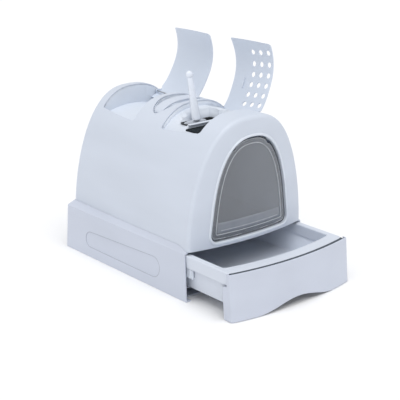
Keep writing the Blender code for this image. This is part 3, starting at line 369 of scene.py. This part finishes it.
def surface(node):
    """A ray-castable copy of a CAD node."""
    mesh = nodes[node].data
    return BVHTree.FromPolygons([v.co for v in mesh.vertices], [tuple(f.vertices) for f in mesh.polygons])


def hit(tree, start, direction):
    """Where a ray first meets a surface, and the normal there."""
    found = tree.ray_cast(Vector(start), Vector(direction))
    return found[0], found[1]


def bead(points, normals, half_width, height, sink, rounds=4, loop=True):
    """A half-round bead along a path on a surface; returns vertices and faces of a closed solid."""
    vertices, faces = [], []
    count = len(points)
    for i, (point, normal) in enumerate(zip(points, normals)):
        before = points[i - 1] if loop or i else points[i]
        after = points[(i + 1) % count] if loop or i < count - 1 else points[i]
        along = (after - before).normalized()
        across = along.cross(normal).normalized()
        vertices.append(point - across * half_width - normal * sink)
        for k in range(rounds + 1):
            angle = pi - pi * k / rounds
            vertices.append(point + across * half_width * cos(angle) + normal * height * sin(angle))
        vertices.append(point + across * half_width - normal * sink)
    ring = rounds + 3
    last = count if loop else count - 1
    for i in range(last):
        j = (i + 1) % count
        for k in range(ring):
            m = (k + 1) % ring
            faces.append((i * ring + k, i * ring + m, j * ring + m, j * ring + k))
    if not loop:
        faces.append(tuple(range(ring)))
        faces.append(tuple((count - 1) * ring + k for k in range(ring))[::-1])
    return vertices, faces


def doorway_half(z):
    """Half width of the doorway at a level, the same curve as the hood's opening."""
    share = min(1.0, max(0.0, (z - DOORWAY_BOTTOM) / DOORWAY_RISE))
    reach = (1 - share ** DOORWAY_SIDE_POWER) ** (1 / DOORWAY_TOP_POWER)
    return DOORWAY_HALF * (1 - DOORWAY_TAPER * share) * reach


def door_loop(inset, bottom_inset, corner):
    """A closed outline inside the doorway, anticlockwise seen from the front."""
    low = DOORWAY_BOTTOM + bottom_inset
    wall = []
    for k in range(WALL_STEPS + 1):
        z = DOORWAY_BOTTOM + DOORWAY_RISE * sin(pi / 2 * k / WALL_STEPS)
        wall.append((doorway_half(z), z))
    crown = DOORWAY_BOTTOM + DOORWAY_RISE - inset

    def half_at(z):
        reach = [x - (inset ** 2 - (level - z) ** 2) ** 0.5 for x, level in wall if abs(level - z) < inset]
        return max(0.0, min(reach))
    side = []
    foot = half_at(low + corner)
    for k in range(CORNER_STEPS + 1):
        angle = -pi / 2 + pi / 2 * k / CORNER_STEPS
        side.append((foot - corner + corner * cos(angle), low + corner + corner * sin(angle)))
    for k in range(1, SIDE_STEPS):
        z = low + corner + (crown - low - corner) * sin(pi / 2 * k / SIDE_STEPS)
        side.append((half_at(z), z))
    side = [point for point in side if point[0] > 0.004]
    outline = side + [(0.0, crown)] + [(-x, z) for x, z in side[::-1]]
    return smoothed(outline, 2)


def smoothed(outline, rounds):
    """A closed outline with its corners averaged away."""
    for _ in range(rounds):
        count = len(outline)
        outline = [((outline[i - 1][0] + 2 * outline[i][0] + outline[(i + 1) % count][0]) / 4,
                    (outline[i - 1][1] + 2 * outline[i][1] + outline[(i + 1) % count][1]) / 4)
                   for i in range(count)]
    return outline


def door_steps():
    """Two moulded steps that run round the door's face."""
    tree = surface("door_flap")
    for name, inset, low, corner, half, height in DOOR_STEPS:
        points, normals = door_face_path(door_loop(inset, low, corner), tree)
        vertices, faces = bead(points, normals, half, height, DOOR_BEAD_SINK)
        # the steps' paler material is a painted highlight along them
        add_piece(name, vertices, faces, materials["door_edge_highlight"], "door")


def door_face_path(places, tree):
    """Points and normals on the door's face at (x, z) places; a place just off it is drawn inwards."""
    points, normals = [], []
    for x, z in places:
        place, normal = hit(tree, (x, -0.5, z), (0, 1, 0))
        while place is None and abs(x) > 0.03:
            x -= 0.0003 if x > 0 else -0.0003
            place, normal = hit(tree, (x, -0.5, z), (0, 1, 0))
        if place is not None:
            points.append(place)
            normals.append(normal if normal.y < 0 else -normal)
    return points, normals


def door_rim():
    """A near-black line round the door's edge, painted shade standing in for the dark gap round the door,
    and the pale fold above its foot, its paleness a painted highlight.
    """
    tree = surface("door_flap")
    points, normals = door_face_path(door_loop(0.0042, 0.0034, 0.012), tree)
    vertices, faces = bead(points, normals, 0.0008, 0.0001, DOOR_BEAD_SINK)
    add_piece("door_gap_shade_line", vertices, faces, materials["door_gap_shade"], "door")
    # the fold's paler material is a painted highlight
    fold = [(-FOLD_HALF + 2 * FOLD_HALF * k / FOLD_STEPS, DOORWAY_BOTTOM + FOLD_LIFT)
            for k in range(FOLD_STEPS + 1)]
    points, normals = door_face_path(fold, tree)
    vertices, faces = bead(points, normals, 0.0009, 0.0008, DOOR_BEAD_SINK, loop=False)
    add_piece("door_fold", vertices, faces, materials["door_edge_highlight"], "door")


def door_foot_band():
    """The pale band at the foot of the door, a thin skin on its face: a painted reflection of the floor."""
    tree = surface("door_flap")
    columns = FOOT_BAND_COLUMNS
    rows = []
    for row in range(FOOT_BAND_ROWS):
        z = DOORWAY_BOTTOM + FOOT_BAND_LIFT + FOOT_BAND_ROW_HEIGHT * row
        reach = doorway_half(z) - FOOT_BAND_SIDE_INSET
        places = [(-reach + 2 * reach * k / (columns - 1), z) for k in range(columns)]
        points, normals = door_face_path(places, tree)
        rows.append([(point + normal * FOOT_BAND_RAISE, point - normal * FOOT_BAND_SINK)
                     for point, normal in zip(points, normals)])
    vertices = [pair[0] for row in rows for pair in row] + [pair[1] for row in rows for pair in row]
    back = len(rows) * columns
    faces = []
    for i in range(len(rows) - 1):
        for k in range(columns - 1):
            a, b = i * columns + k, (i + 1) * columns + k
            faces.append((a, a + 1, b + 1, b))
            faces.append((back + b, back + b + 1, back + a + 1, back + a))
    border = ([k for k in range(columns)] + [i * columns + columns - 1 for i in range(1, len(rows))]
              + [(len(rows) - 1) * columns + k for k in range(columns - 2, -1, -1)]
              + [i * columns for i in range(len(rows) - 2, 0, -1)])
    for k, a in enumerate(border):
        b = border[(k + 1) % len(border)]
        faces.append((a, b, back + b, back + a))
    add_piece("door_foot_reflection", vertices, faces, materials["door_floor_reflection"], "door")


def rounded_box_outline(half_x, half_y, radius):
    """A rectangle round the origin with round corners, anticlockwise."""
    points = []
    for sx, sy, start in ((1, 1, 0), (-1, 1, 90), (-1, -1, 180), (1, -1, 270)):
        for k in range(CORNER_STEPS + 1):
            angle = radians(start + 90 * k / CORNER_STEPS)
            points.append((sx * (half_x - radius) + radius * cos(angle),
                           sy * (half_y - radius) + radius * sin(angle)))
    return points


def slot_shade_ring():
    """A near-black ring round the mouth of the scoop's slot: painted shade standing in for the shadowed void
    inside the slot.
    """
    centre_x, centre_y = (SLOT_X[0] + SLOT_X[1]) / 2, (SLOT_Y[0] + SLOT_Y[1]) / 2
    half_x, half_y = (SLOT_X[1] - SLOT_X[0]) / 2, (SLOT_Y[1] - SLOT_Y[0]) / 2
    vertices, faces = [], []
    for grow, z in SHADE_RING_SECTION:
        for x, y in rounded_box_outline(half_x + grow, half_y + grow, SLOT_CORNER + grow):
            vertices.append((centre_x + x, centre_y + y, z))
    ring = len(vertices) // len(SHADE_RING_SECTION)
    for i in range(len(SHADE_RING_SECTION)):
        j = (i + 1) % len(SHADE_RING_SECTION)
        for k in range(ring):
            m = (k + 1) % ring
            faces.append((i * ring + k, i * ring + m, j * ring + m, j * ring + k))
    add_piece("slot_shade_ring", vertices, faces, materials["sheath"], "base")


def side_line(side):
    """A fine line round the long panel on one side of the plinth, a low bead in a darker colour: painted
    shade standing in for the shadow at the panel's recessed edge.
    """
    tree = surface("plinth_frame")
    outline = []
    for centre_y, centre_z, radius, start in SIDE_LINE_ENDS:
        for k in range(19):
            angle = radians(start + 10 * k)
            outline.append((centre_y + radius * cos(angle), centre_z + radius * sin(angle)))
    points, normals = [], []
    for y, z in outline:
        place, normal = hit(tree, (side * 0.4, y, z), (-side, 0, 0))
        points.append(place)
        normals.append(Vector((side, 0, 0.04)).normalized())
    vertices, faces = bead(points, normals, 0.00055, 0.00025, 0.0004)
    word = "left" if side < 0 else "right"
    add_piece("side_line_" + word, vertices, faces, materials["shadow_line"], "base")


def drawer_gap_shade():
    """A near-black strip in the gap between the drawer's rim and the lip of its panel: painted shade
    standing in for the shadow in the gap.
    """
    rim, panel = surface("rim_frame"), surface("drawer_front")
    columns = SEAM_COLUMNS
    rows = []
    for k in range(columns):
        x = -SEAM_HALF + 2 * SEAM_HALF * k / (columns - 1)
        middle = (x, SEAM_PROBE_Y - SEAM_BOW * (1 - (x / PANEL_HALF) ** 2), SEAM_PROBE_Z)
        back, _ = hit(rim, middle, (0, 1, 0))
        front, _ = hit(panel, middle, (0, -1, 0))
        rows.append([(x, front.y + SEAM_GAP, SEAM_FOOT), (x, front.y + SEAM_GAP, SEAM_TOP),
                     (x, back.y - SEAM_GAP, SEAM_TOP), (x, back.y - SEAM_GAP, SEAM_FOOT)])
    vertices = [corner for row in rows for corner in row]
    faces = [(i * 4 + k, i * 4 + (k + 1) % 4, i * 4 + 4 + (k + 1) % 4, i * 4 + 4 + k)
             for i in range(columns - 1) for k in range(4)]
    faces += [(0, 1, 2, 3), tuple(4 * (columns - 1) + k for k in (3, 2, 1, 0))]
    add_piece("drawer_gap_shade", vertices, faces, materials["gap_shade"], "drawer", smooth=False)


drawer_gap_shade()
door_steps()
door_rim()
door_foot_band()
slot_shade_ring()
side_line(-1)
side_line(1)


# ---------------------------------------------------------------- stage, light and camera
FLOOR_REACH = 80.0
FLOOR_DROP = 0.0005
SKY_COLOUR = (0.985, 0.99, 1.0, 1.0)
SKY_STRENGTH = 0.64
TUB_FILL_PLACE = (-0.03, -0.37, 0.30)
TUB_FILL_POWER = 1.6
TUB_FILL_SIZE = 0.10
CAMERA_PLACE = Vector((-1.705, -2.021, 1.020))
CAMERA_AIM = Vector((0.0212, -0.0368, 0.1577))
CAMERA_ROLL = 0.46
CAMERA_LENS = 96.05
SENSOR_WIDTH = 36.0


def stage_floor():
    """A wide white floor just under the object."""
    shape = bmesh.new()
    corners = [shape.verts.new((x * FLOOR_REACH, y * FLOOR_REACH, -FLOOR_DROP)) for x, y in
               ((-1, -1), (1, -1), (1, 1), (-1, 1))]
    shape.faces.new(corners)
    mesh = bpy.data.meshes.new("studio_floor")
    shape.to_mesh(mesh)
    shape.free()
    mesh.materials.append(studio_floor("floor_white"))
    floor = bpy.data.objects.new("studio_floor", mesh)
    bpy.context.scene.collection.objects.link(floor)


def sun_light(name, towards, strength, spread):
    """A broad, far light; towards points at it and spread is its angular size in degrees."""
    data = bpy.data.lights.new(name, "SUN")
    data.energy = strength
    data.angle = radians(spread)
    light = bpy.data.objects.new(name, data)
    light.rotation_mode = "QUATERNION"
    light.rotation_quaternion = (-Vector(towards)).to_track_quat("-Z", "Y")
    bpy.context.scene.collection.objects.link(light)


def tub_light():
    """A soft light that reaches only the litter tray; it stays where it is when the drawer moves."""
    data = bpy.data.lights.new("tub_fill", "POINT")
    data.energy = TUB_FILL_POWER
    data.shadow_soft_size = TUB_FILL_SIZE
    light = bpy.data.objects.new("tub_fill", data)
    light.location = TUB_FILL_PLACE
    light.visible_camera = False
    bpy.context.scene.collection.objects.link(light)
    lit = bpy.data.collections.new("tub_pieces")
    lit.objects.link(bpy.data.objects["litter_tray_moulded"])
    light.light_linking.receiver_collection = lit


def studio():
    """Even pale surroundings and two broad lights."""
    world = bpy.data.worlds.new("studio")
    world.use_nodes = True
    sky = world.node_tree.nodes["Background"]
    sky.inputs["Color"].default_value = SKY_COLOUR
    sky.inputs["Strength"].default_value = SKY_STRENGTH
    bpy.context.scene.world = world
    sun_light("key", towards=(-0.16, -0.34, 1.25), strength=1.45, spread=55.0)
    sun_light("side", towards=(-1.0, -0.25, 0.75), strength=0.22, spread=60.0)
    bpy.context.scene.view_settings.view_transform = "Standard"


def camera():
    """The view from in front and to the left, a little above."""
    data = bpy.data.cameras.new("camera")
    data.sensor_width = SENSOR_WIDTH
    data.lens = CAMERA_LENS
    data.clip_start, data.clip_end = 0.05, 250.0
    view = bpy.data.objects.new("camera", data)
    view.location = CAMERA_PLACE
    view.rotation_mode = "QUATERNION"
    roll = Quaternion((0.0, 0.0, 1.0), radians(CAMERA_ROLL))
    view.rotation_quaternion = (CAMERA_AIM - CAMERA_PLACE).to_track_quat("-Z", "Y") @ roll
    bpy.context.scene.collection.objects.link(view)
    bpy.context.scene.camera = view


stage_floor()
studio()
tub_light()
camera()
